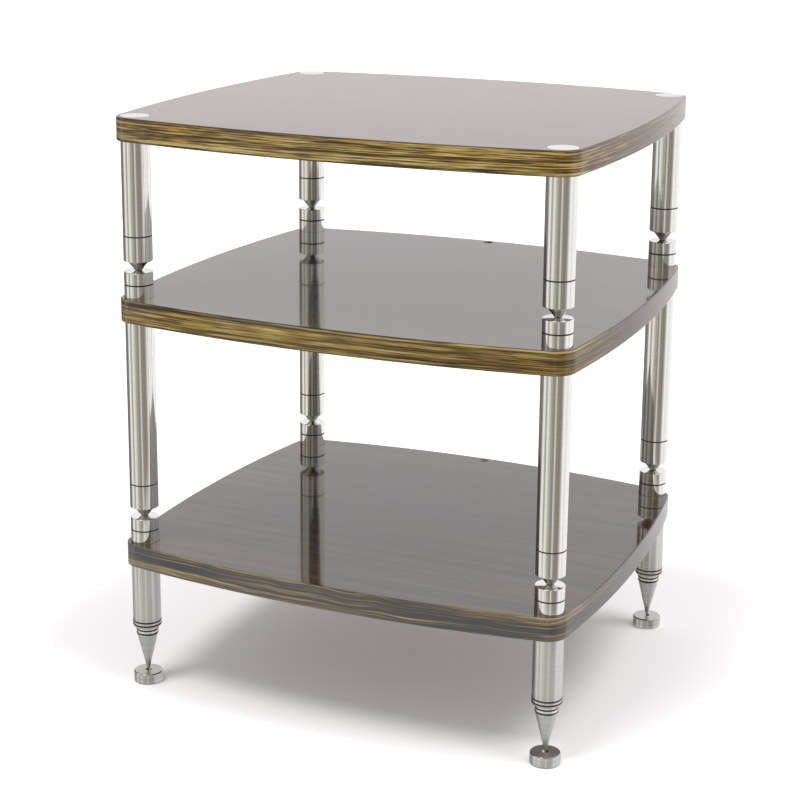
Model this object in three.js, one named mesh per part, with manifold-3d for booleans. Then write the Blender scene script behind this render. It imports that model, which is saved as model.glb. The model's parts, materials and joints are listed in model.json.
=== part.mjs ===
// Audio equipment rack: three bow-edged veneered shelves on four turned steel columns.
// Each tier stands on cones that rest in dimpled cups on the shelf below it, and the lowest
// tier stands on levelling spikes in floor discs. Millimetres, +Z up, origin on the floor
// under the middle of the shelves, -Y is the front.

import * as THREE from "three";
import { mergeVertices } from "three/addons/utils/BufferGeometryUtils.js";
import Module from "manifold-3d";

const wasm = await Module();
wasm.setup();

// Plan of the columns: each rear one is set in towards the middle from the front one's line
const frontColumnSpacing = 572;
const rearColumnInset = 15;
const columnDepthSpacing = 477;
const columnDiameter = 38;

// Shelf board, the same in all three tiers
const shelfThickness = 31;
const shelfFrontOverhang = 49.8;
const shelfRearOverhang = 44.6;
const shelfSideOverhang = 39.8;
const shelfFrontRadius = 1746;
const shelfRearRadius = 1552;
const shelfSideRadius = 1860;
const shelfCornerRadius = 29;
const shelfEdgeRound = 1.6;
const cableHoleDiameter = 13;
const cableHoleInset = 12.1;

// Stainless tube with a bored plug in each end
const tubeWall = 2;
const plugLength = 24;
const legTubeLength = 91.7;
const middleTubeLength = 221.2;
const topTubeLength = 122.3;
const legEndDiameter = 30;
const legEndRoundHeight = 4.6;
const legEndRoundShares = [[0.62, 0.24], [0.9, 0.6]];

// Studs that pass through the shelves into the plugs
const studDiameter = 12;
const studGrip = 20;

// Floor disc and levelling spike
const floorDiscDiameter = 39;
const floorDiscHeight = 15;
const floorDiscChamfer = 1;
const floorDimpleDiameter = 9;
const floorDimpleDepth = 3.5;
const spikeConeLength = 57;
const spikeConeDiameter = 28;
const spikeCollarDiameter = 29;
const spikeCollarHeight = 10.5;
const spikeCollarChamfer = 0.8;
const spikeShankLength = 22;

// Cup that carries the tier above, let a little way into its shelf
const cupHeight = 35.8;
const cupSeatDepth = 1;
const cupChamfer = 0.9;
const cupGrooveHeight = 18.5;
const cupDimpleDiameter = 12;

// Cone end of the middle and top columns
const coneStandoff = 13;
const coneBaseDiameter = 29;
const coneWaistDiameter = 8;
const coneBarrelHeight = 32.3;
const coneBarrelChamfer = 0.6;

// Black ring, in the cup's groove and between a cone end and its tube
const ringGrooveHeight = 2;
const ringGrooveDepth = 2.6;

// Cap let flush into the top shelf
const capDiameter = 38.4;
const capThickness = 3;
const capChamfer = 0.5;

// Clearances
const seatGap = 0.3;
const boreClearance = 0.3;
const cutOverrun = 5;

// Facets round a turned piece, and steps in each half of an arc of the shelf's outline
const turnedSides = 20;
const outlineSteps = 4;
const edgeRoundSteps = 2;

const steel = { color: 0xc4c3bd, roughness: 0.18, metalness: 1 };
const veneer = { color: 0x3a2a1c, roughness: 0.12, metalness: 0 };
const rubber = { color: 0x111110, roughness: 0.6, metalness: 0 };

const columnRadius = columnDiameter / 2;
const studRadius = studDiameter / 2;
const rearColumnSpacing = frontColumnSpacing - 2 * rearColumnInset;
const shelfDepth = columnDepthSpacing + shelfFrontOverhang + shelfRearOverhang;
const frontColumnY = shelfFrontOverhang - shelfDepth / 2;
const rearColumnY = shelfDepth / 2 - shelfRearOverhang;

const corners = [
  { name: "front_left", x: -frontColumnSpacing / 2, y: frontColumnY },
  { name: "front_right", x: frontColumnSpacing / 2, y: frontColumnY },
  { name: "rear_left", x: -rearColumnSpacing / 2, y: rearColumnY },
  { name: "rear_right", x: rearColumnSpacing / 2, y: rearColumnY },
];

// The cone narrows from its base to its waist at the cup's top, and on to its tip in the dimple
const coneTaper = (coneBaseDiameter - coneWaistDiameter) / 2 / coneStandoff;
const coneTipDepth = coneWaistDiameter / 2 / coneTaper;

// A faceted bore is widened so that its flats clear a round pin
function boreRadius(pinRadius) {
  return (pinRadius + boreClearance) / Math.cos(Math.PI / turnedSides);
}

// Solid of revolution about +Z from [radius, height] points, listed upwards along the outside
function turned(profile) {
  const points = profile.map(([radius, height]) => new THREE.Vector2(radius, height));
  return new THREE.LatheGeometry(points, turnedSides).rotateX(Math.PI / 2);
}

function solidOf(geometry) {
  const bare = new THREE.BufferGeometry();
  bare.setAttribute("position", geometry.getAttribute("position"));
  if (geometry.index) bare.setIndex(geometry.index);
  const merged = mergeVertices(bare);
  return new wasm.Manifold(new wasm.Mesh({
    numProp: 3,
    vertProperties: new Float32Array(merged.getAttribute("position").array),
    triVerts: new Uint32Array(merged.index.array),
  }));
}

function geometryOf(solid) {
  const mesh = solid.getMesh();
  const geometry = new THREE.BufferGeometry();
  geometry.setAttribute("position", new THREE.BufferAttribute(mesh.vertProperties, mesh.numProp));
  geometry.setIndex(new THREE.BufferAttribute(mesh.triVerts, 1));
  geometry.computeVertexNormals();
  return geometry;
}

// Plan of the shelf: four long arcs that meet in rounded corners
function arcThrough(middle, outward, radius) {
  return { centre: middle.clone().addScaledVector(outward, -radius), radius };
}

function shelfArcs() {
  const sideOutward = new THREE.Vector2(columnDepthSpacing, rearColumnInset).normalize();
  const sideMiddle = new THREE.Vector2(
    (frontColumnSpacing + rearColumnSpacing) / 4, (frontColumnY + rearColumnY) / 2,
  ).addScaledVector(sideOutward, shelfSideOverhang);
  const mirrored = (v) => new THREE.Vector2(-v.x, v.y);
  return [
    arcThrough(new THREE.Vector2(0, -shelfDepth / 2), new THREE.Vector2(0, -1), shelfFrontRadius),
    arcThrough(sideMiddle, sideOutward, shelfSideRadius),
    arcThrough(new THREE.Vector2(0, shelfDepth / 2), new THREE.Vector2(0, 1), shelfRearRadius),
    arcThrough(mirrored(sideMiddle), mirrored(sideOutward), shelfSideRadius),
  ];
}

// Centre of the corner circle that touches two neighbouring arcs from inside
function cornerCentre(first, second) {
  const firstReach = first.radius - shelfCornerRadius;
  const secondReach = second.radius - shelfCornerRadius;
  const between = second.centre.clone().sub(first.centre);
  const distance = between.length();
  const along = (firstReach ** 2 - secondReach ** 2 + distance ** 2) / (2 * distance);
  const across = Math.sqrt(firstReach ** 2 - along ** 2);
  const direction = between.normalize();
  const sideways = new THREE.Vector2(-direction.y, direction.x);
  return first.centre.clone().addScaledVector(direction, along).addScaledVector(sideways, across);
}

function angleFrom(centre, point) {
  return Math.atan2(point.y - centre.y, point.x - centre.x);
}

function shelfOutline() {
  const arcs = shelfArcs();
  const nextArc = (i) => arcs[(i + 1) % arcs.length];
  const centres = arcs.map((arc, i) => cornerCentre(arc, nextArc(i)));
  const outline = new THREE.Shape();
  arcs.forEach((arc, i) => {
    const before = centres[(i + arcs.length - 1) % arcs.length];
    const after = centres[i];
    const end = angleFrom(arc.centre, after);
    outline.absarc(arc.centre.x, arc.centre.y, arc.radius, angleFrom(arc.centre, before), end, false);
    const turnEnd = angleFrom(nextArc(i).centre, after);
    outline.absarc(after.x, after.y, shelfCornerRadius, end, turnEnd, false);
  });
  return outline;
}

function roundCutter(radius, bottom, top) {
  return turned([[0, bottom], [radius, bottom], [radius, top], [0, top]]);
}

// Each corner has a hole for a stud, and round it a seat that is open at the top
const cupSeat = { diameter: columnDiameter, depth: cupSeatDepth };
const capSeat = { diameter: capDiameter, depth: capThickness + seatGap };

function shelf(name, seat, cableHole) {
  const board = new THREE.ExtrudeGeometry(shelfOutline(), {
    depth: shelfThickness - 2 * shelfEdgeRound,
    bevelThickness: shelfEdgeRound,
    bevelSize: shelfEdgeRound,
    bevelOffset: -shelfEdgeRound,
    bevelSegments: edgeRoundSteps,
    curveSegments: outlineSteps,
  }).translate(0, 0, shelfEdgeRound);
  let solid = solidOf(board);
  const below = -cutOverrun;
  const above = shelfThickness + cutOverrun;
  for (const corner of corners) {
    const cutters = [
      roundCutter(boreRadius(studRadius), below, above),
      roundCutter(boreRadius(seat.diameter / 2), shelfThickness - seat.depth, above),
    ];
    for (const cutter of cutters) {
      solid = solid.subtract(solidOf(cutter.translate(corner.x, corner.y, 0)));
    }
  }
  if (cableHole) {
    const hole = roundCutter(cableHoleDiameter / 2, below, above);
    solid = solid.subtract(solidOf(hole.translate(0, shelfDepth / 2 - cableHoleInset, 0)));
  }
  return named(name, geometryOf(solid), veneer);
}

function tubeProfile(length, endPoints) {
  const bore = boreRadius(studRadius);
  const inside = columnRadius - tubeWall;
  return [
    ...endPoints,
    [columnRadius, length],
    [bore, length],
    [bore, length - plugLength],
    [inside, length - plugLength],
    [inside, plugLength],
    [bore, plugLength],
    endPoints[0],
  ];
}

function straightTube(length) {
  return turned(tubeProfile(length, [[boreRadius(studRadius), 0], [columnRadius, 0]]));
}

// The leg's lower end is drawn in from the tube's full diameter to the spike's collar
function legTube() {
  const endRadius = legEndDiameter / 2;
  const step = columnRadius - endRadius;
  const round = legEndRoundShares.map(([outShare, upShare]) => [
    endRadius + step * outShare, legEndRoundHeight * upShare,
  ]);
  return turned(tubeProfile(legTubeLength, [
    [boreRadius(studRadius), 0],
    [endRadius, 0],
    ...round,
    [columnRadius, legEndRoundHeight],
  ]));
}

function floorDisc() {
  const radius = floorDiscDiameter / 2;
  return turned([
    [0, 0],
    [radius - floorDiscChamfer, 0],
    [radius, floorDiscChamfer],
    [radius, floorDiscHeight - floorDiscChamfer],
    [radius - floorDiscChamfer, floorDiscHeight],
    [floorDimpleDiameter / 2, floorDiscHeight],
    [0, floorDiscHeight - floorDimpleDepth],
  ]);
}

function levellingSpike() {
  const collarRadius = spikeCollarDiameter / 2;
  const collarTop = spikeConeLength + spikeCollarHeight;
  return turned([
    [0, 0],
    [spikeConeDiameter / 2, spikeConeLength],
    [collarRadius, spikeConeLength + spikeCollarChamfer],
    [collarRadius, collarTop],
    [studRadius, collarTop],
    [studRadius, collarTop + spikeShankLength],
    [0, collarTop + spikeShankLength],
  ]);
}

function grooved(bottom) {
  const floor = columnRadius - ringGrooveDepth;
  return [
    [columnRadius, bottom],
    [floor, bottom],
    [floor, bottom + ringGrooveHeight],
    [columnRadius, bottom + ringGrooveHeight],
  ];
}

function cup() {
  const studLength = shelfThickness - cupSeatDepth + studGrip;
  return turned([
    [0, -studLength],
    [studRadius, -studLength],
    [studRadius, 0],
    [columnRadius, 0],
    ...grooved(cupGrooveHeight - ringGrooveHeight / 2),
    [columnRadius, cupHeight - cupChamfer],
    [columnRadius - cupChamfer, cupHeight],
    [cupDimpleDiameter / 2, cupHeight],
    [0, cupHeight - coneTipDepth - seatGap],
  ]);
}

// Heights are counted from the cone's tip
const coneBasePlane = coneTipDepth + coneStandoff;
const coneBarrelTop = coneBasePlane + coneBarrelHeight;
const coneLandTop = coneBarrelTop + ringGrooveHeight;

function coneEnd() {
  const land = columnRadius - ringGrooveDepth;
  return turned([
    [0, 0],
    [coneBaseDiameter / 2, coneBasePlane],
    [columnRadius - coneBarrelChamfer, coneBasePlane],
    [columnRadius, coneBasePlane + coneBarrelChamfer],
    [columnRadius, coneBarrelTop],
    [land, coneBarrelTop],
    [land, coneLandTop],
    [studRadius, coneLandTop],
    [studRadius, coneLandTop + studGrip],
    [0, coneLandTop + studGrip],
  ]);
}

function ring() {
  const inner = columnRadius - ringGrooveDepth + boreClearance;
  const height = ringGrooveHeight - 2 * seatGap;
  return turned([[inner, 0], [columnRadius, 0], [columnRadius, height], [inner, height], [inner, 0]]);
}

function cap() {
  const radius = capDiameter / 2;
  const studLength = shelfThickness - capThickness + studGrip;
  return turned([
    [0, -studLength],
    [studRadius, -studLength],
    [studRadius, 0],
    [radius, 0],
    [radius, capThickness - capChamfer],
    [radius - capChamfer, capThickness],
    [0, capThickness],
  ]);
}

function named(name, geometry, finish) {
  const mesh = new THREE.Mesh(geometry, new THREE.MeshStandardMaterial(finish));
  mesh.name = name;
  return mesh;
}

// Heights of the stack, each piece seated on the one below it
const spikeTip = floorDiscHeight - floorDimpleDepth + seatGap;
const legBottom = spikeTip + spikeConeLength + spikeCollarHeight + seatGap;
const lowerShelfBottom = legBottom + legTubeLength + seatGap;

function tierAbove(shelfBottom, tubeLength) {
  const cupBottom = shelfBottom + shelfThickness - cupSeatDepth + seatGap;
  const coneTip = cupBottom + cupHeight - coneTipDepth;
  const tubeBottom = coneTip + coneLandTop + seatGap;
  return { cupBottom, coneTip, tubeBottom, shelfBottom: tubeBottom + tubeLength + seatGap };
}

const middleTier = tierAbove(lowerShelfBottom, middleTubeLength);
const topTier = tierAbove(middleTier.shelfBottom, topTubeLength);
const capBottom = topTier.shelfBottom + shelfThickness - capThickness;

// Pieces of one column, from the floor up: name, shape, finish and height
const cupRingHeight = cupGrooveHeight - ringGrooveHeight / 2 + seatGap;
const coneRingHeight = coneBarrelTop + seatGap;
const columnPieces = [
  ["floor_disc", floorDisc, steel, 0],
  ["levelling_spike", levellingSpike, steel, spikeTip],
  ["leg_tube", legTube, steel, legBottom],
  ["lower_cup", cup, steel, middleTier.cupBottom],
  ["lower_cup_ring", ring, rubber, middleTier.cupBottom + cupRingHeight],
  ["middle_cone", coneEnd, steel, middleTier.coneTip],
  ["middle_cone_ring", ring, rubber, middleTier.coneTip + coneRingHeight],
  ["middle_tube", () => straightTube(middleTubeLength), steel, middleTier.tubeBottom],
  ["upper_cup", cup, steel, topTier.cupBottom],
  ["upper_cup_ring", ring, rubber, topTier.cupBottom + cupRingHeight],
  ["top_cone", coneEnd, steel, topTier.coneTip],
  ["top_cone_ring", ring, rubber, topTier.coneTip + coneRingHeight],
  ["top_tube", () => straightTube(topTubeLength), steel, topTier.tubeBottom],
  ["top_cap", cap, steel, capBottom],
];

function column(corner) {
  const group = new THREE.Group();
  group.position.set(corner.x, corner.y, 0);
  for (const [name, shape, finish, height] of columnPieces) {
    const piece = named(`${name}_${corner.name}`, shape(), finish);
    piece.position.z = height;
    group.add(piece);
  }
  return group;
}

const rack = new THREE.Group();
for (const corner of corners) rack.add(column(corner));

const shelves = [
  ["shelf_lower", lowerShelfBottom, cupSeat, true],
  ["shelf_middle", middleTier.shelfBottom, cupSeat, true],
  ["shelf_top", topTier.shelfBottom, capSeat, false],
];
for (const [name, height, seat, cableHole] of shelves) {
  const board = shelf(name, seat, cableHole);
  board.position.z = height;
  rack.add(board);
}

export default rack;
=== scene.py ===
import json
import math

import bpy
from mathutils import Matrix, Vector


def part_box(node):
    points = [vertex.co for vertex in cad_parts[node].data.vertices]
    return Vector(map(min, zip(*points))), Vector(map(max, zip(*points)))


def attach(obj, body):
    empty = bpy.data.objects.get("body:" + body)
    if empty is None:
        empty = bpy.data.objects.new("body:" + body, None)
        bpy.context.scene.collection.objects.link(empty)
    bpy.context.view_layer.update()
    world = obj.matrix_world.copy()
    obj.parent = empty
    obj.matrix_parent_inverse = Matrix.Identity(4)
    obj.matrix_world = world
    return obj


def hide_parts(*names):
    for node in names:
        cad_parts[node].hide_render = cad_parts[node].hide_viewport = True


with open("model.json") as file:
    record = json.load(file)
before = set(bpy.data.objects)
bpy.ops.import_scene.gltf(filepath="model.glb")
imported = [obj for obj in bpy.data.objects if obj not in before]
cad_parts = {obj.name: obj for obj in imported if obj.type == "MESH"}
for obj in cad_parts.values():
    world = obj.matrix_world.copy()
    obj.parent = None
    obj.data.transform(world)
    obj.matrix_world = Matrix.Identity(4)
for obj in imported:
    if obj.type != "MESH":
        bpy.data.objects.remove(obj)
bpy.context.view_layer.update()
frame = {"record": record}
bodies = frame["record"]["behaviour"]["bodies"]
bodyOfNode = {node: body for body, nodes in bodies.items() for node in nodes}
cornerNames = ["front_left", "front_right", "rear_left", "rear_right"]
mm = 0.001  # sizes below are in millimetres, the scene is in metres


def nodeBox(node):
    low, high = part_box(node)
    return low / mm, high / mm


def nodeSpan(stem):
    low, high = nodeBox(stem + "_front_left")
    return low.z, high.z


def columnPlace(corner):
    low, high = nodeBox("floor_disc_" + corner)
    return (low + high) / 2


# Camera of the photograph, in metres and radians, its lens in millimetres
view = {
    "place": (1.0315, -2.4032, 1.1491),
    "turn": 0.4426, "tilt": 0.2574, "roll": 0.0012,
    "lens": 90.01, "sensor": 36.0, "shift": (0.0733, -0.08), "farClip": 100.0,
}


def addCamera():
    lens = bpy.data.cameras.new("photoLens")
    lens.lens = view["lens"]
    lens.sensor_width = view["sensor"]
    lens.shift_x, lens.shift_y = view["shift"]
    lens.clip_end = view["farClip"]
    camera = bpy.data.objects.new("photoCamera", lens)
    bpy.context.scene.collection.objects.link(camera)
    camera.matrix_world = (
        Matrix.Translation(view["place"])
        @ Matrix.Rotation(view["turn"], 4, "Z")
        @ Matrix.Rotation(math.pi / 2 - view["tilt"], 4, "X")
        @ Matrix.Rotation(view["roll"], 4, "Z")
    )
    bpy.context.scene.camera = camera


addCamera()
print("camera set")


# Shader maths: a Wire is an output socket that can stand in an ordinary sum
class Wire:
    def __init__(self, graph, socket):
        self.graph = graph
        self.socket = socket

    def maths(self, operation, first, second):
        return self.graph.node("ShaderNodeMath", {"operation": operation}, [first, second])

    def __add__(self, other):
        return self.maths("ADD", self, other)

    def __radd__(self, other):
        return self.maths("ADD", other, self)

    def __sub__(self, other):
        return self.maths("SUBTRACT", self, other)

    def __rsub__(self, other):
        return self.maths("SUBTRACT", other, self)

    def __mul__(self, other):
        return self.maths("MULTIPLY", self, other)

    def __rmul__(self, other):
        return self.maths("MULTIPLY", other, self)

    def __truediv__(self, other):
        return self.maths("DIVIDE", self, other)

    def __rtruediv__(self, other):
        return self.maths("DIVIDE", other, self)

    def __abs__(self):
        return self.maths("ABSOLUTE", self, 0.0)


class Graph:
    def __init__(self, owner):
        owner.use_nodes = True
        self.tree = owner.node_tree
        self.tree.nodes.clear()

    # Adds one node: its settings first, then the values or wires of its sockets
    def node(self, kind, settings=None, inputs=(), output=0):
        added = self.tree.nodes.new(kind)
        for setting, value in (settings or {}).items():
            if setting == "stops":
                self.setStops(added.color_ramp, value)
            else:
                setattr(added, setting, value)
        pairs = inputs.items() if isinstance(inputs, dict) else enumerate(inputs)
        for key, value in pairs:
            if isinstance(value, Wire):
                self.tree.links.new(value.socket, added.inputs[key])
            else:
                added.inputs[key].default_value = value
        return Wire(self, added.outputs[output]) if added.outputs else None

    def setStops(self, ramp, stops):
        while len(ramp.elements) < len(stops):
            ramp.elements.new(1.0)
        for element, (place, colour) in zip(ramp.elements, stops):
            element.position = place
            element.color = (*colour, 1.0)

    def split(self, vector):
        return [self.node("ShaderNodeSeparateXYZ", inputs=[vector], output=axis) for axis in range(3)]

    def join(self, x, y, z):
        return self.node("ShaderNodeCombineXYZ", inputs=[x, y, z])

    def noise(self, vector, scale, detail, roughness=0.6):
        settings = {"noise_dimensions": "3D"}
        sockets = {"Vector": vector, "Scale": scale, "Detail": detail, "Roughness": roughness}
        return self.node("ShaderNodeTexNoise", settings, sockets)

    def ramp(self, factor, stops):
        return self.node("ShaderNodeValToRGB", {"stops": stops}, [factor])

    def spread(self, value, low, high, start=0.0, end=1.0, style="SMOOTHSTEP"):
        settings = {"interpolation_type": style}
        return self.node("ShaderNodeMapRange", settings, [value, low, high, start, end])

    # Mixes two colours, each of them a wire or three numbers
    def blend(self, factor, first, second, how="MIX"):
        first, second = (side if isinstance(side, Wire) else (*side, 1.0) for side in (first, second))
        settings = {"data_type": "RGBA", "blend_type": how}
        return self.node("ShaderNodeMix", settings, {0: factor, 6: first, 7: second}, output=2)

    def bump(self, strength, distance, height):
        sockets = {"Strength": strength, "Distance": distance, "Height": height}
        return self.node("ShaderNodeBump", inputs=sockets)


def grey(level):
    return (level, level, level)


# The studio: what polished steel and lacquer show, by compass angle from the camera's side
studio = {
    "ambient": 0.42,
    "lamps": [  # spread in degrees, and the direction that the light comes from
        {"name": "rightSoftbox", "power": 0.95, "spread": 26.0, "origin": (0.43, 0.03, 1.0)},
        {"name": "leftSoftbox", "power": 1.05, "spread": 20.0, "origin": (-0.21, -0.38, 1.0)},
    ],
    "softboxLevel": 1.9, "softboxCore": 6.0, "softboxEdge": 13.0,  # core and edge in degrees
    "paperSize": 60.0, "paperColour": 1.42, "paperShade": 0.97, "paperGlow": 0.12,
    "paperTint": (1.06, 0.95, 0.96), "paperReach": (0.70, 0.95), "paperSheen": 0.5,
    "lowSky": -0.06, "highSky": 0.02,  # where the floor gives way to the sky
    "sky": [  # sine of the height above the horizon, and the light that comes from there
        (0.03, (0.92, 0.91, 0.90)), (0.09, (0.906, 0.848, 0.857)), (0.18, (0.906, 0.848, 0.857)),
        (0.31, (1.0, 0.985, 0.985)),
    ],
    "rightEdge": (78.0, 96.0), "leftEdge": (160.0, 168.0),  # degrees, between bands and plain sky
    "nearFloor": -0.60, "farFloor": -0.78, "floorLevel": 0.50,
    "zenithStart": 0.55, "zenithEnd": 0.85, "zenithLevel": 0.40,
    "bands": [  # degrees to the right of the camera, and the light that comes from there
        (-180, (0.20, 0.19, 0.17)), (-112, (0.22, 0.20, 0.18)), (-98, (0.96, 0.92, 0.92)),
        (-88, (0.96, 0.92, 0.92)), (-76, (0.44, 0.41, 0.40)), (-68, (0.44, 0.42, 0.39)),
        (-62, (0.96, 0.94, 0.86)), (-50, (0.80, 0.79, 0.66)), (-40, (0.52, 0.52, 0.43)),
        (-22, (0.32, 0.32, 0.28)), (-10, (0.27, 0.26, 0.25)), (-5, (0.70, 0.66, 0.64)),
        (1, (0.70, 0.66, 0.64)), (8, (0.32, 0.29, 0.27)), (24, (0.30, 0.26, 0.20)),
        (36, (0.26, 0.25, 0.23)), (46, (0.40, 0.39, 0.38)), (54, (0.74, 0.73, 0.72)),
        (64, (1.08, 1.07, 1.06)), (76, (0.95, 0.94, 0.93)), (90, (0.92, 0.91, 0.91)),
        (104, (1.10, 1.065, 1.075)), (150, (1.05, 1.01, 1.02)), (168, (1.00, 1.00, 1.00)),
        (178, (0.60, 0.59, 0.58)),
    ],
}


def addStudio():
    world = bpy.data.worlds.new("studio")
    bpy.context.scene.world = world
    graph = Graph(world)
    direction = graph.node("ShaderNodeTexCoord")
    toCamera = (math.sin(view["turn"]), -math.cos(view["turn"]), 0.0)
    toRight = (math.cos(view["turn"]), math.sin(view["turn"]), 0.0)
    dot = {"operation": "DOT_PRODUCT"}
    ahead = graph.node("ShaderNodeVectorMath", dot, [direction, toCamera], output=1)
    aside = graph.node("ShaderNodeVectorMath", dot, [direction, toRight], output=1)
    height = graph.split(direction)[2]
    turn = aside.maths("ARCTAN2", aside, ahead) / (2 * math.pi) + 0.5
    bands = graph.ramp(turn, [(angle / 360 + 0.5, colour) for angle, colour in studio["bands"]])
    overhead = graph.spread(height, studio["zenithStart"], studio["zenithEnd"])
    sky = graph.ramp(height, studio["sky"])
    degrees = (turn - 0.5) * 360.0
    rightPart = graph.spread(degrees, *studio["rightEdge"])
    leftPart = graph.spread(0.0 - degrees, *studio["leftEdge"])
    sky = graph.blend(rightPart + leftPart, bands, sky)
    sky = graph.blend(overhead, sky, grey(studio["zenithLevel"]))
    edge, core = (math.cos(math.radians(studio[part])) for part in ("softboxEdge", "softboxCore"))
    for lamp in studio["lamps"]:
        origin = Vector(lamp["origin"]).normalized()
        towards = graph.node("ShaderNodeVectorMath", dot, [direction, origin], output=1)
        sky = graph.blend(graph.spread(towards, edge, core), sky, grey(studio["softboxLevel"]))
    underfoot = graph.spread(height, studio["farFloor"], studio["nearFloor"])
    low = graph.blend(underfoot, grey(studio["floorLevel"]), bands)
    seen = graph.blend(graph.spread(height, studio["lowSky"], studio["highSky"]), low, sky)
    glossy = graph.node("ShaderNodeLightPath", output="Is Glossy Ray")
    camera = graph.node("ShaderNodeLightPath", output="Is Camera Ray")
    colour = graph.blend(glossy, grey(studio["ambient"]), seen)
    colour = graph.blend(camera, colour, grey(1.0))
    background = graph.node("ShaderNodeBackground", inputs=[colour, 1.0])
    graph.node("ShaderNodeOutputWorld", inputs=[background])


# The steel shows the softboxes that the world paints, so the lamps themselves stay out of it
def addLamps():
    for lamp in studio["lamps"]:
        light = bpy.data.lights.new(lamp["name"], "SUN")
        light.energy = lamp["power"]
        light.angle = math.radians(lamp["spread"])
        stand = bpy.data.objects.new(lamp["name"], light)
        bpy.context.scene.collection.objects.link(stand)
        stand.rotation_euler = Vector(lamp["origin"]).to_track_quat("Z", "Y").to_euler()
        stand.visible_glossy = False


def clearSelection():
    for obj in bpy.context.selected_objects:
        obj.select_set(False)


def pick(obj):
    clearSelection()
    obj.select_set(True)
    bpy.context.view_layer.objects.active = obj


def addFloor():
    clearSelection()
    bpy.ops.mesh.primitive_plane_add(size=studio["paperSize"], location=(0.0, 0.0, 0.0))
    floor = bpy.context.object
    floor.name = "studioFloor"
    paint = bpy.data.materials.new("palePaper")
    graph = Graph(paint)
    seen = graph.node("ShaderNodeLightPath", output="Is Camera Ray")
    glossy = graph.node("ShaderNodeLightPath", output="Is Glossy Ray")
    colour = graph.blend(seen, grey(studio["paperShade"]), grey(studio["paperColour"]))
    sheet = graph.node("ShaderNodeBsdfDiffuse", inputs={"Color": colour})
    glow = graph.node("ShaderNodeEmission", inputs=[(*studio["paperTint"], 1.0), 1.0])
    lit = graph.node("ShaderNodeMixShader", inputs=[seen * studio["paperGlow"], sheet, glow])
    # Steel shows only the paper that lies near the rack, half mixed with the darker room past it
    x, y = graph.split(graph.node("ShaderNodeTexCoord", output="Object"))[:2]
    level = graph.join(x, y, 0.0)
    distance = graph.node("ShaderNodeVectorMath", {"operation": "LENGTH"}, [level], output=1)
    missing = graph.spread(distance, *studio["paperReach"], 1.0 - studio["paperSheen"], 1.0)
    clear = graph.node("ShaderNodeBsdfTransparent")
    graph.node("ShaderNodeOutputMaterial", inputs=[
        graph.node("ShaderNodeMixShader", inputs=[glossy * missing, lit, clear]),
    ])
    floor.data.materials.append(paint)


addStudio()
addLamps()
addFloor()
bpy.context.scene.view_settings.view_transform = "Standard"
print("studio and floor set")


# Finishes
steels = {  # turning lines: how many to the metre, and how deep
    "polishedSteel": {
        "colour": (0.85, 0.84, 0.81), "stain": 0.97, "roughness": 0.07, "lines": 300.0, "depth": 0.002,
    },
    "capSteel": {
        "colour": (0.95, 0.98, 0.97), "stain": 0.98, "roughness": 0.10, "lines": 300.0, "depth": 0.002,
    },
    # Painted shade: the leg tubes get the columns' steel in a darker colour, standing in for the shadowed
    # floor that they reflect
    "shadedLegSteel": {
        "colour": (0.64, 0.64, 0.615), "stain": 0.97, "roughness": 0.14, "lines": 300.0, "depth": 0.002,
    },
    # Partly painted shade: the cones' satin finish is rougher, and its darker colour stands in for the
    # darker surroundings that they reflect near the floor
    "satinShadedSteel": {
        "colour": (0.62, 0.62, 0.585), "stain": 0.94, "roughness": 0.30, "lines": 300.0, "depth": 0.02,
    },
    "turnedSteel": {
        "colour": (0.74, 0.74, 0.70), "stain": 0.66, "roughness": 0.13, "lines": 1100.0, "depth": 0.18,
    },
    "facedSteel": {
        "colour": (0.60, 0.60, 0.57), "stain": 0.80, "roughness": 0.46, "lines": 300.0, "depth": 0.02,
    },
    "blastedSteel": {
        "colour": (0.95, 0.92, 0.92), "stain": 0.98, "roughness": 0.62, "lines": 300.0, "depth": 0.01,
    },
}
turningMarks = {"around": 6.0, "detail": 2.0, "stainRange": (0.35, 0.65), "glossSwing": 0.3}
rubber = {
    "dust": 900.0, "detail": 3.0, "tones": [(0.3, grey(0.012)), (0.75, grey(0.035))],
    "roughness": (0.38, 0.55), "bump": 0.15,
}
glossRange = (0.2, 0.8)  # noise values where a surface is at its glossiest and at its dullest
bumpHeight = 0.0002


# The stain is the darker shade that the turning lines go down to
def steelMaterial(name):
    steel = steels[name]
    stain = [level * steel["stain"] for level in steel["colour"]]
    material = bpy.data.materials.new(name)
    graph = Graph(material)
    x, y, z = graph.split(graph.node("ShaderNodeTexCoord", output="Object"))
    around = turningMarks["around"]
    spot = graph.join(x * around, y * around, z * steel["lines"])
    lines = graph.noise(spot, 1.0, turningMarks["detail"])
    colour = graph.blend(graph.spread(lines, *turningMarks["stainRange"]), steel["colour"], stain)
    glossiest = steel["roughness"] * (1.0 - turningMarks["glossSwing"])
    dullest = steel["roughness"] * (1.0 + turningMarks["glossSwing"])
    shader = graph.node("ShaderNodeBsdfPrincipled", inputs={
        "Base Color": colour, "Metallic": 1.0,
        "Roughness": graph.spread(lines, *glossRange, glossiest, dullest, "LINEAR"),
        "Normal": graph.bump(steel["depth"], bumpHeight, lines),
    })
    graph.node("ShaderNodeOutputMaterial", inputs=[shader])
    return material


def rubberMaterial():
    material = bpy.data.materials.new("blackRubber")
    graph = Graph(material)
    place = graph.node("ShaderNodeTexCoord", output="Object")
    dust = graph.noise(place, rubber["dust"], rubber["detail"])
    shader = graph.node("ShaderNodeBsdfPrincipled", inputs={
        "Base Color": graph.ramp(dust, rubber["tones"]),
        "Roughness": graph.spread(dust, *glossRange, *rubber["roughness"], "LINEAR"),
        "Normal": graph.bump(rubber["bump"], bumpHeight, dust),
    })
    graph.node("ShaderNodeOutputMaterial", inputs=[shader])
    return material


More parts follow.
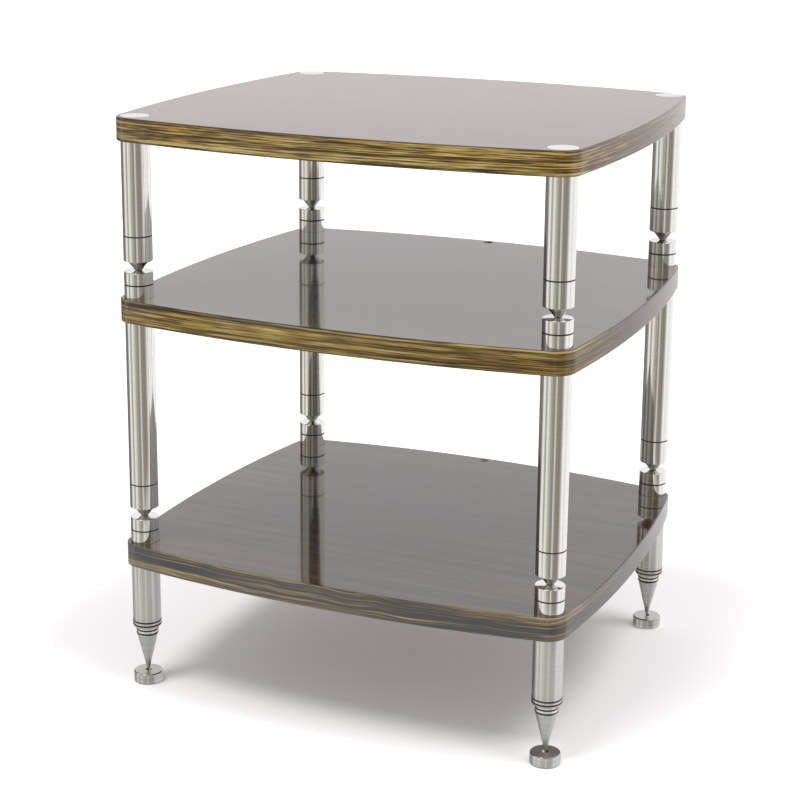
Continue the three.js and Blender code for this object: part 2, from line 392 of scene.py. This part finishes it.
# Dark striped veneer under clear gloss lacquer, its grain running along each board
veneer = {
    "faceCoat": 0.45, "edgeCoat": 0.05, "coatRoughness": 0.02, "roughness": (0.06, 0.09),
    # The grey veil set here is a painted reflection, mixed into the veneer's colour
    "glossRange": (0.3, 0.7), "bump": 0.04, "bumpHeight": 0.0001, "paintedReflection": (0.136, 0.143, 0.152),
    # Painted shade darkens and calms the edge strip along the right-hand side, over these spans
    "paintedShadeRange": (-0.27, -0.02), "paintedShadeFlank": (0.20, 0.27),  # metres along y and x
    # Painted reflection veils the edge strip more towards the left-hand side, over this span
    "leftPaintedReflectionRange": (-0.20, -0.31), "leftPaintedReflection": 0.25,  # metres along x
    "faceCut": {
        "wave": 3.2, "waveDepth": 0.006, "stripe": 60.0, "lines": 420.0,
        "lineShare": 0.35, "fibreShare": 0.15, "contrast": 2.4, "tone": 0.5, "blush": 0.8,
    },
    "streak": 1.1, "line": 5.5, "fibre": 22.0,  # how often each changes in a metre of length
    "fibres": 580.0, "waves": 14.0,  # and in a metre across, as do a cut's stripes and lines
    "noises": {  # how far each lies from the board's own place in the grain, and its detail
        "wave": (0.0, 1.0), "streaks": (0.0, 4.0), "threads": (5.0, 3.0),
        "hue": (9.0, 3.0), "fibres": (2.0, 2.0),
    },
    "tints": [(0.40, (0.93, 0.90, 0.66)), (0.50, (0.95, 0.88, 0.84)), (0.60, (1.00, 0.78, 0.50))],
    "face": [
        (0.10, (0.026, 0.020, 0.018)), (0.42, (0.045, 0.033, 0.026)), (0.56, (0.060, 0.043, 0.030)),
        (0.64, (0.140, 0.090, 0.030)), (0.72, (0.055, 0.040, 0.030)), (0.90, (0.160, 0.096, 0.036)),
    ],
    "edge": [
        (0.00, (0.030, 0.021, 0.017)), (0.18, (0.064, 0.041, 0.022)), (0.34, (0.145, 0.095, 0.026)),
        (0.50, (0.275, 0.195, 0.048)), (0.68, (0.420, 0.315, 0.085)), (0.92, (0.660, 0.550, 0.240)),
    ],
}


# Each board's own cut: its place in the grain, how its edge strip is striped and toned, how much a
# painted reflection veils it, what of tone and figure is left under the painted shade along the
# right-hand side, and how level a surface is that still shows the face veneer
cuts = {
    "shelf_lower": {
        "layer": 3.0, "wave": 11.0, "waveDepth": 0.011, "stripe": 150.0, "lines": 430.0,
        "lineShare": 0.9, "fibreShare": 0.35, "contrast": 3.6,
        "tone": 0.235, "gild": 0.50, "blush": 0.6, "paintedReflection": 0.46, "rim": 0.3,
        "paintedShadeTone": 0.16, "paintedShadeFigure": 0.12, "faceTilt": 0.95, "facePaintedReflection": 0.0,
    },
    "shelf_middle": {
        "layer": 12.5, "wave": 4.0, "waveDepth": 0.006, "stripe": 190.0, "lines": 480.0,
        "lineShare": 0.7, "fibreShare": 0.7, "contrast": 2.1,
        "tone": 0.40, "gild": 0.0, "blush": 1.0, "paintedReflection": 0.03, "rim": 0.5,
        "paintedShadeTone": 0.10, "paintedShadeFigure": 0.40, "faceTilt": 0.55, "facePaintedReflection": 0.2,
    },
    "shelf_top": {
        "layer": 23.0, "wave": 3.2, "waveDepth": 0.005, "stripe": 280.0, "lines": 600.0,
        "lineShare": 1.5, "fibreShare": 1.1, "contrast": 1.9,
        "tone": 0.495, "gild": 0.0, "blush": 1.0, "paintedReflection": 0.0, "rim": 0.5,
        "paintedShadeTone": 0.27, "paintedShadeFigure": 0.50, "faceTilt": 0.40, "facePaintedReflection": 0.0,
    },
}


# The grain is drawn out along one or two directions and lies close across the other
def grain(graph, ends, across, alongScale, acrossScale, layer, name):
    offset, detail = veneer["noises"][name]
    first, second = ends
    spot = graph.join(first * alongScale, across * acrossScale, second * alongScale + (layer + offset))
    return graph.noise(spot, 1.0, detail)


def veneerShader(graph, side, ends, across, cut, layer, tone, contrast, paintedReflection):
    wave = grain(graph, ends, across, cut["wave"], veneer["waves"], layer, "wave")
    bent = across + (wave - 0.5) * cut["waveDepth"]
    streaks = grain(graph, ends, bent, veneer["streak"], cut["stripe"], layer, "streaks")
    threads = grain(graph, ends, bent, veneer["line"], cut["lines"], layer, "threads")
    hue = grain(graph, ends, bent, veneer["streak"], cut["stripe"], layer, "hue")
    fibres = grain(graph, ends, bent, veneer["fibre"], veneer["fibres"], layer, "fibres")
    figure = streaks - 0.5 + (threads - 0.5) * cut["lineShare"] + (fibres - 0.5) * cut["fibreShare"]
    colour = graph.ramp(figure * contrast + tone, veneer[side])
    colour = graph.blend(cut["blush"], colour, graph.ramp(hue, veneer["tints"]), "MULTIPLY")
    shader = graph.node("ShaderNodeBsdfPrincipled", inputs={
        # The base colour is veiled by a painted reflection of the lacquer's gloss
        "Base Color": graph.blend(paintedReflection, colour, veneer["paintedReflection"]),
        "Roughness": graph.spread(threads, *veneer["glossRange"], *veneer["roughness"], "LINEAR"),
        "Normal": graph.bump(veneer["bump"], veneer["bumpHeight"], streaks),
        "Coat Weight": veneer[side + "Coat"], "Coat Roughness": veneer["coatRoughness"],
    })
    graph.node("ShaderNodeOutputMaterial", inputs=[shader])


def faceVeneer(node):
    material = bpy.data.materials.new("veneerFace_" + node)
    graph = Graph(material)
    x, y = graph.split(graph.node("ShaderNodeTexCoord", output="Object"))[:2]
    cut, own = veneer["faceCut"], cuts[node]
    # Some boards' face veneer is veiled by a painted reflection as well
    veneerShader(
        graph, "face", (x, 0.0), y, cut, own["layer"], cut["tone"], cut["contrast"], own["facePaintedReflection"],
    )
    return material


# The edge strip's grain runs level, right round the board. Painted shade makes it darker and calmer along
# the right-hand side, and a painted reflection veils it more towards the left-hand one
def edgeVeneer(node, low, high):
    material = bpy.data.materials.new("veneerEdge_" + node)
    graph = Graph(material)
    x, y, z = graph.split(graph.node("ShaderNodeTexCoord", output="Object"))
    cut = cuts[node]
    middle, half = (low + high) / 2 * mm, (high - low) / 2 * mm
    offCentre = abs(z - middle) / half
    rim = graph.spread(z, (low + board["edgeRound"]) * mm, low * mm) * cut["rim"]
    # Painted shade: along the right-hand side the tone is darkened and the figure calmed
    shadeFlank = graph.spread(x, *veneer["paintedShadeFlank"])
    unshaded = 1.0 - graph.spread(y, *veneer["paintedShadeRange"]) * shadeFlank
    unshadedTone = (offCentre - 0.5) * cut["gild"] + (cut["tone"] - cut["paintedShadeTone"])
    tone = unshadedTone * unshaded + cut["paintedShadeTone"] - rim
    contrast = (unshaded * (1.0 - cut["paintedShadeFigure"]) + cut["paintedShadeFigure"]) * cut["contrast"]
    # Painted reflection: a grey veil, stronger towards the left-hand side
    paintedReflection = graph.spread(x, *veneer["leftPaintedReflectionRange"]) * veneer["leftPaintedReflection"] + cut["paintedReflection"]
    veneerShader(graph, "edge", (x, y), z, cut, cut["layer"], tone, contrast, paintedReflection)
    return material


polishedSteel = steelMaterial("polishedSteel")
capSteel = steelMaterial("capSteel")
shadedLegSteel = steelMaterial("shadedLegSteel")
satinShadedSteel = steelMaterial("satinShadedSteel")
turnedSteel = steelMaterial("turnedSteel")
facedSteel = steelMaterial("facedSteel")
blastedSteel = steelMaterial("blastedSteel")
blackRubber = rubberMaterial()
print("finishes made")


# Turned pieces: a disc is drawn up along its profile, ring by ring, and its edges are rounded
turning = {
    "sides": 96, "merge": 0.01, "edgeWidth": 0.18, "edgeSteps": 2, "edgeAngle": 28.0, "flatWeight": 100,
}


def turnPiece(name, profile, hollow=False, edgeWidth=None):
    clearSelection()
    radius, height = profile[0]
    bpy.ops.mesh.primitive_circle_add(
        vertices=turning["sides"], radius=radius * mm, fill_type="NOTHING" if hollow else "NGON",
        location=(0.0, 0.0, height * mm),
    )
    piece = bpy.context.object
    piece.name = name
    bpy.ops.object.mode_set(mode="EDIT")
    bpy.ops.mesh.select_all(action="SELECT")
    for (oldRadius, oldHeight), (newRadius, newHeight) in zip(profile, profile[1:]):
        rise = (0.0, 0.0, (newHeight - oldHeight) * mm)
        bpy.ops.mesh.extrude_region_move(TRANSFORM_OT_translate={"value": rise})
        growth = newRadius / oldRadius
        centre = (0.0, 0.0, newHeight * mm)
        bpy.ops.transform.resize(value=(growth, growth, 1.0), center_override=centre)
    bpy.ops.mesh.select_all(action="SELECT")
    bpy.ops.mesh.remove_doubles(threshold=turning["merge"] * mm)
    bpy.ops.mesh.normals_make_consistent(inside=False)
    bpy.ops.object.mode_set(mode="OBJECT")
    bpy.ops.object.transform_apply(location=True, rotation=True, scale=True)
    roundEdges(piece, turning["edgeWidth"] if edgeWidth is None else edgeWidth)
    return piece


def roundEdges(piece, width):
    pick(piece)
    if width:
        bevel = piece.modifiers.new("roundEdges", "BEVEL")
        bevel.width = width * mm
        bevel.segments = turning["edgeSteps"]
        bevel.limit_method = "ANGLE"
        bevel.angle_limit = math.radians(turning["edgeAngle"])
        bpy.ops.object.modifier_apply(modifier=bevel.name)
    smoothShading(piece, turning["edgeAngle"])


# Large faces keep their own direction, so that a mirror surface doesn't bend towards its rounded edges
def smoothShading(piece, angle):
    pick(piece)
    bpy.ops.object.shade_smooth_by_angle(angle=math.radians(angle))
    weights = piece.modifiers.new("flatFaces", "WEIGHTED_NORMAL")
    weights.keep_sharp = True
    weights.weight = turning["flatWeight"]
    bpy.ops.object.modifier_apply(modifier=weights.name)


def finishPiece(piece, name, material, body, node=None):
    piece.name = name
    piece.data.name = name
    if not piece.data.materials:
        piece.data.materials.append(material)
    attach(piece, body)
    if node:
        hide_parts(node)


# The turned cones are satin, in a colour darkened by painted shade, and what stands above them is
# polished
def dressBelow(piece, height, lower, upper):
    piece.data.materials.append(upper)
    piece.data.materials.append(lower)
    for face in piece.data.polygons:
        face.material_index = 1 if face.center.z < height * mm else 0


# The place goes into the mesh, so that the object itself stays at the origin
def movePiece(piece, x, y):
    piece.data.transform(Matrix.Translation((x * mm, y * mm, 0.0)))


# One master is copied to the four columns. Each copy stands for its CAD node, unless it has a carrier
def standOnColumns(master, stem, material, carrier=None):
    for corner in cornerNames:
        copy = master.copy()
        copy.data = master.data.copy()
        bpy.context.scene.collection.objects.link(copy)
        place = columnPlace(corner)
        movePiece(copy, place.x, place.y)
        body = bodyOfNode[(carrier or stem) + "_" + corner]
        node = None if carrier else stem + "_" + corner
        finishPiece(copy, "turned_" + stem + "_" + corner, material, body, node)
    bpy.data.objects.remove(master)


# Quarter of an ellipse from one profile point to another, leaving the first one upright or level
def quarter(start, end, upright, steps=6):
    points = []
    for step in range(1, steps + 1):
        angle = math.pi / 2 * step / steps
        sine, fall = math.sin(angle), 1 - math.cos(angle)
        level, rise = (fall, sine) if upright else (sine, fall)
        points.append((start[0] + (end[0] - start[0]) * level, start[1] + (end[1] - start[1]) * rise))
    return points


tube = {"radius": 19.0, "wall": 2.0, "plug": 24.0, "bore": 6.2, "ringInset": 0.1}
stud = {"radius": 6.0, "pitch": 1.5, "threadDepth": 0.75}
footRing = {  # places are above the bottom of the leg and of the spike
    "height": 2.3, "depth": 1.3, "bulge": 0.5, "legPlaces": (4.6, 9.6), "spikePlaces": (59.2, 64.3),
}
disc = {"radius": 19.5, "chamfer": 1.2, "dimple": 4.5, "dimpleDepth": 3.3, "dimpleTip": 0.2}


def makeFloorDiscs():
    low, high = nodeSpan("floor_disc")
    radius, chamfer = disc["radius"], disc["chamfer"]
    master = turnPiece("floorDisc", [
        (radius - chamfer, low), (radius, low + chamfer), (radius, high - chamfer),
        (radius - chamfer, high), (disc["dimple"], high), (disc["dimpleTip"], high - disc["dimpleDepth"]),
    ])
    dressBelow(master, high - chamfer / 4, turnedSteel, facedSteel)
    standOnColumns(master, "floor_disc", turnedSteel)


def grooveAt(radius, middle, height, depth):
    return [
        (radius, middle - height / 2), (radius - depth, middle - height / 2),
        (radius - depth, middle + height / 2), (radius, middle + height / 2),
    ]


# The foot rings' grooves up a straight side, whose profile already stands at the first one's lower edge
def groovesAt(radius, base, places):
    points = []
    for place in places:
        points += grooveAt(radius, base + place, footRing["height"], footRing["depth"])
    return points[1:]


# Rings at the thread's pitch stand for the thread, from its foot to the end of the shank
def threadPoints(low, high):
    root = stud["radius"] - stud["threadDepth"]
    points = [(root, low)]
    while points[-1][1] + stud["pitch"] <= high:
        foot = points[-1][1]
        points += [(stud["radius"], foot + stud["pitch"] / 2), (root, foot + stud["pitch"])]
    return points + [(root, high)]


spike = {
    "tip": 0.35, "coneRadius": 14.0, "coneHeight": 57.0, "rim": 0.4,
    "collarRadius": 14.5, "collarHeight": 10.5, "bright": 0.6,
}


def makeSpikes():
    low, high = nodeSpan("levelling_spike")
    collar = spike["collarRadius"]
    coneTop = low + spike["coneHeight"]
    collarTop = coneTop + spike["collarHeight"]
    rimRadius = spike["coneRadius"] * (1 - spike["rim"] / spike["coneHeight"])
    firstGroove = low + footRing["spikePlaces"][0] - footRing["height"] / 2
    profile = [
        (spike["tip"], low), (rimRadius, coneTop - spike["rim"]),
        (spike["coneRadius"], coneTop), (collar, coneTop + spike["rim"]),
        (collar, firstGroove - spike["bright"]), (collar - spike["bright"], firstGroove),
    ]
    profile += groovesAt(collar, low, footRing["spikePlaces"])
    profile += [(collar, collarTop)] + threadPoints(collarTop, high)
    master = turnPiece("levellingSpike", profile)
    dressBelow(master, coneTop - spike["rim"], satinShadedSteel, polishedSteel)
    standOnColumns(master, "levelling_spike", polishedSteel)


def tubeInside(low, high, lastRadius):
    bore, inner = tube["bore"], tube["radius"] - tube["wall"]
    lowPlug, highPlug = low + tube["plug"], high - tube["plug"]
    return [
        (bore, high), (bore, highPlug), (inner, highPlug), (inner, lowPlug),
        (bore, lowPlug), (bore, low), (lastRadius, low),
    ]


legEnd = {"radius": 15.0, "seam": 14.2, "seamWidth": 0.35, "seamDepth": 0.3, "edgeWidth": 0.1}


def makeLegs():
    low, high = nodeSpan("leg_tube")
    radius = tube["radius"]
    firstGroove = low + footRing["legPlaces"][0] - footRing["height"] / 2
    start = (legEnd["radius"], low)
    profile = [start] + quarter(start, (radius, firstGroove), upright=False)
    profile += groovesAt(radius, low, footRing["legPlaces"])
    profile += grooveAt(radius, low + legEnd["seam"], legEnd["seamWidth"], legEnd["seamDepth"])
    profile += [(radius, high)] + tubeInside(low, high, legEnd["radius"])
    master = turnPiece("legTube", profile, hollow=True, edgeWidth=legEnd["edgeWidth"])
    # The legs take the steel that painted shade darkens
    standOnColumns(master, "leg_tube", shadedLegSteel)


def makeTubes(stem, low):
    high = nodeSpan(stem)[1]
    radius = tube["radius"]
    profile = [(radius, low), (radius, high)] + tubeInside(low, high, radius)
    standOnColumns(turnPiece(stem, profile, hollow=True), stem, polishedSteel)


cone = {
    "tip": 0.3, "reach": 17.95, "baseRadius": 14.5, "barrel": 32.6, "chamfer": 0.6,
    "ring": 1.7, "landDepth": 2.6,
}
cup = {
    "seat": 1.0, "chamfer": 0.6, "crown": 0.9, "sink": 5.1, "play": 0.35,
    "grooveHeight": 17.5, "groove": 1.8, "depth": 2.0,
}


# Points up a slightly domed face, from its outer edge in to the dimple
def crownPoints(outer, edgeHeight, inner, topHeight, steps=5):
    points = []
    for step in range(1, steps + 1):
        radius = outer + (inner - outer) * step / steps
        fall = (radius ** 2 - inner ** 2) / (outer ** 2 - inner ** 2)
        points.append((radius, topHeight - (topHeight - edgeHeight) * fall))
    return points


def makeCups(stem, shelf):
    low, high = nodeSpan(stem)
    face = nodeBox(shelf)[1].z
    radius, chamfer = tube["radius"], cup["chamfer"]
    seat, shoulder = face - cup["seat"], high - cup["crown"]
    slope = (cone["baseRadius"] - cone["tip"]) / cone["reach"]
    dimple = cone["tip"] + slope * cup["sink"] + cup["play"]
    profile = [(stud["radius"], low), (stud["radius"], seat), (radius, seat)]
    profile += grooveAt(radius, face + cup["grooveHeight"], cup["groove"], cup["depth"])
    profile += [(radius, shoulder - chamfer), (radius - chamfer, shoulder)]
    profile += crownPoints(radius - chamfer, shoulder, dimple, high)
    profile.append((cone["tip"], high - cup["sink"]))
    standOnColumns(turnPiece(stem, profile), stem, polishedSteel)
    top = face + cup["grooveHeight"] + cup["groove"] / 2
    makeRing(stem + "_ring", top - cup["groove"], top, radius - cup["depth"], radius - tube["ringInset"])


def ringProfile(low, high, inner, outer):
    middle, bulge = (low + high) / 2, (high - low) / 2
    points = [(inner, low), (outer - bulge, low)]
    points += quarter((outer - bulge, low), (outer, middle), upright=False, steps=4)
    points += quarter((outer, middle), (outer - bulge, high), upright=True, steps=4)
    return points + [(inner, high), (inner, low)]


def makeRing(stem, low, high, inner, outer):
    ring = turnPiece(stem, ringProfile(low, high, inner, outer), hollow=True, edgeWidth=0)
    standOnColumns(ring, stem, blackRubber)


# Hands back the height at which the tube above starts
def makeConeEnds(stem):
    low, high = nodeSpan(stem)
    radius, chamfer = tube["radius"], cone["chamfer"]
    base = low + cone["reach"]
    top = base + cone["barrel"]
    ringTop = top + cone["ring"]
    land = radius - cone["landDepth"]
    master = turnPiece(stem, [
        (cone["tip"], low), (cone["baseRadius"], base), (radius - chamfer, base),
        (radius, base + chamfer), (radius, top), (land, top), (land, ringTop),
        (stud["radius"], ringTop), (stud["radius"], high),
    ])
    dressBelow(master, base + chamfer / 4, satinShadedSteel, polishedSteel)
    standOnColumns(master, stem, polishedSteel)
    makeRing(stem + "_ring", top, ringTop, land, radius - tube["ringInset"])
    return ringTop


cap = {"radius": 19.2, "thickness": 3.0, "chamfer": 0.5}


def makeCaps():
    low, high = nodeSpan("top_cap")
    radius, chamfer = cap["radius"], cap["chamfer"]
    bottom = high - cap["thickness"]
    standOnColumns(turnPiece("topCap", [
        (stud["radius"], low), (stud["radius"], bottom), (radius, bottom),
        (radius, high - chamfer), (radius - chamfer, high),
    ]), "top_cap", capSteel)


def makeFootRings():
    legLow = nodeSpan("leg_tube")[0]
    spikeLow = nodeSpan("levelling_spike")[0]
    half = footRing["height"] / 2
    jobs = [
        ("leg_ring", "leg_tube", legLow, footRing["legPlaces"], tube["radius"]),
        ("spike_ring", "levelling_spike", spikeLow, footRing["spikePlaces"], spike["collarRadius"]),
    ]
    for stem, carrier, base, places, radius in jobs:
        inner, outer = radius - footRing["depth"], radius + footRing["bulge"]
        for level, place in zip(("low", "high"), places):
            profile = ringProfile(base + place - half, base + place + half, inner, outer)
            ring = turnPiece(stem, profile, hollow=True, edgeWidth=0)
            standOnColumns(ring, stem + "_" + level, blackRubber, carrier)


makeFloorDiscs()
makeSpikes()
makeLegs()
makeFootRings()
print("feet and legs made")
for stem, shelf in (("lower_cup", "shelf_lower"), ("upper_cup", "shelf_middle")):
    makeCups(stem, shelf)
for stem, tubeStem in (("middle_cone", "middle_tube"), ("top_cone", "top_tube")):
    makeTubes(tubeStem, makeConeEnds(stem))
makeCaps()
print("columns made")


# Shelves: a bowed outline of four long arcs and four corners, cut for the columns
board = {
    "frontRadius": 1746.0, "rearRadius": 1552.0, "sideRadius": 1860.0, "cornerRadius": 29.0,
    "sideOverhang": 39.8, "edgeRound": 1.6, "edgeSteps": 4, "arcSteps": 24, "merge": 0.005,
    "cableRadius": 6.5, "cableInset": 12.1, "countersink": 0.5, "studGap": 0.3, "seatGap": 0.25,
    "overrun": 5.0, "smoothAngle": 35.0,
}


def boardArcs(low, high):
    front, rear = columnPlace("front_right"), columnPlace("rear_right")
    outward = Vector((rear.y - front.y, front.x - rear.x)).normalized()
    side = Vector(((front.x + rear.x) / 2, (front.y + rear.y) / 2)) + outward * board["sideOverhang"]
    rightCentre = side - outward * board["sideRadius"]
    return [
        (Vector((0.0, low.y + board["frontRadius"])), board["frontRadius"]),
        (rightCentre, board["sideRadius"]),
        (Vector((0.0, high.y - board["rearRadius"])), board["rearRadius"]),
        (Vector((-rightCentre.x, rightCentre.y)), board["sideRadius"]),
    ]


def cornerCentre(first, second):
    (firstCentre, firstRadius), (secondCentre, secondRadius) = first, second
    firstReach = firstRadius - board["cornerRadius"]
    secondReach = secondRadius - board["cornerRadius"]
    between = secondCentre - firstCentre
    along = (firstReach ** 2 - secondReach ** 2 + between.length ** 2) / (2 * between.length)
    across = math.sqrt(firstReach ** 2 - along ** 2)
    direction = between.normalized()
    return firstCentre + direction * along + Vector((-direction.y, direction.x)) * across


# Start and end points of each arc, with its centre and radius, anticlockwise from the front
def boardSections(low, high):
    arcs = boardArcs(low, high)
    centres = [cornerCentre(arcs[i], arcs[(i + 1) % 4]) for i in range(4)]
    sections = []
    for i, (centre, radius) in enumerate(arcs):
        start, end = [
            centre + (corner - centre).normalized() * radius for corner in (centres[i - 1], centres[i])
        ]
        sections.append((start, end, centre, radius))
        nextCentre, nextRadius = arcs[(i + 1) % 4]
        nextStart = nextCentre + (centres[i] - nextCentre).normalized() * nextRadius
        sections.append((end, nextStart, centres[i], board["cornerRadius"]))
    return sections


def tangentAt(point, centre):
    return Vector((centre.y - point.y, point.x - centre.x)).normalized()


def boardBody(name, low, high):
    curve = bpy.data.curves.new(name, "CURVE")
    curve.dimensions = "2D"
    curve.fill_mode = "BOTH"
    curve.resolution_u = board["arcSteps"]
    curve.extrude = ((high.z - low.z) / 2 - board["edgeRound"]) * mm
    curve.bevel_depth = board["edgeRound"] * mm
    curve.bevel_resolution = board["edgeSteps"]
    curve.offset = -board["edgeRound"] * mm
    sections = boardSections(low, high)
    spline = curve.splines.new("BEZIER")
    spline.bezier_points.add(len(sections) - 1)
    spline.use_cyclic_u = True
    for i, (start, end, centre, radius) in enumerate(sections):
        angle = (start - centre).angle(end - centre)
        reach = 4 / 3 * math.tan(angle / 4) * radius  # the handle that makes the curve follow its arc
        first, last = spline.bezier_points[i], spline.bezier_points[(i + 1) % len(sections)]
        first.handle_left_type = first.handle_right_type = "FREE"
        first.co = (*(start * mm), 0.0)
        first.handle_right = (*((start + tangentAt(start, centre) * reach) * mm), 0.0)
        last.handle_left = (*((end - tangentAt(end, centre) * reach) * mm), 0.0)
    piece = bpy.data.objects.new(name, curve)
    bpy.context.scene.collection.objects.link(piece)
    pick(piece)
    bpy.ops.object.convert(target="MESH")
    piece = bpy.context.object
    piece.location.z = (low.z + high.z) / 2 * mm
    bpy.ops.object.transform_apply(location=True, rotation=True, scale=True)
    bpy.ops.object.mode_set(mode="EDIT")
    bpy.ops.mesh.select_all(action="SELECT")
    bpy.ops.mesh.remove_doubles(threshold=board["merge"] * mm)
    bpy.ops.mesh.normals_make_consistent(inside=False)
    bpy.ops.object.mode_set(mode="OBJECT")
    return piece


def cutAway(piece, cutter):
    pick(piece)
    cut = piece.modifiers.new("cut", "BOOLEAN")
    cut.operation = "DIFFERENCE"
    cut.solver = "EXACT"
    cut.object = cutter
    bpy.ops.object.modifier_apply(modifier=cut.name)
    bpy.data.objects.remove(cutter)


def makeBoard(node, seatRadius, seatDepth, cableHole):
    low, high = nodeBox(node)
    piece = boardBody(node, low, high)
    under, over, sink = low.z - board["overrun"], high.z + board["overrun"], board["countersink"]
    bore, seat = stud["radius"] + board["studGap"], seatRadius + board["seatGap"]
    for corner in cornerNames:
        place = columnPlace(corner)
        cutter = turnPiece("seatCutter", [
            (bore, under), (bore, high.z - seatDepth), (seat, high.z - seatDepth),
            (seat, high.z - sink / 2), (seat + sink / 2, high.z), (seat + sink / 2, over),
        ], edgeWidth=0)
        movePiece(cutter, place.x, place.y)
        cutAway(piece, cutter)
    if cableHole:
        hole = board["cableRadius"]
        cutter = turnPiece("cableCutter", [
            (hole + sink, under), (hole + sink, low.z), (hole, low.z + sink),
            (hole, high.z - sink), (hole + sink, high.z), (hole + sink, over),
        ], edgeWidth=0)
        movePiece(cutter, 0.0, high.y - board["cableInset"])
        cutAway(piece, cutter)
    smoothShading(piece, board["smoothAngle"])
    piece.data.materials.clear()
    piece.data.materials.append(faceVeneer(node))
    piece.data.materials.append(edgeVeneer(node, low.z, high.z))
    for face in piece.data.polygons:
        face.material_index = 0 if abs(face.normal.z) > cuts[node]["faceTilt"] else 1
    finishPiece(piece, "veneered_" + node, None, bodyOfNode[node], node)


# Thin blasted bushes line the cable holes, a little below the lacquer
bush = {"wall": 0.36, "recess": 1.4, "flare": 0.25, "lip": 0.1, "play": 0.02}


def makeBush(node):
    low, high = nodeBox(node)
    outer = board["cableRadius"] - bush["play"]
    inner = outer - bush["wall"]
    top, bottom = high.z - bush["recess"], low.z + bush["recess"]
    piece = turnPiece("cableBush", [
        (outer, bottom), (outer, top), (outer - bush["lip"], top),
        (inner, top - bush["flare"]), (inner, bottom), (outer, bottom),
    ], hollow=True, edgeWidth=0)
    movePiece(piece, 0.0, high.y - board["cableInset"])
    finishPiece(piece, "cableBush_" + node, blastedSteel, bodyOfNode[node])


makeBoard("shelf_lower", tube["radius"], cup["seat"], cableHole=True)
makeBoard("shelf_middle", tube["radius"], cup["seat"], cableHole=True)
makeBoard("shelf_top", cap["radius"], cap["thickness"], cableHole=False)
makeBush("shelf_lower")
makeBush("shelf_middle")
print("shelves made")
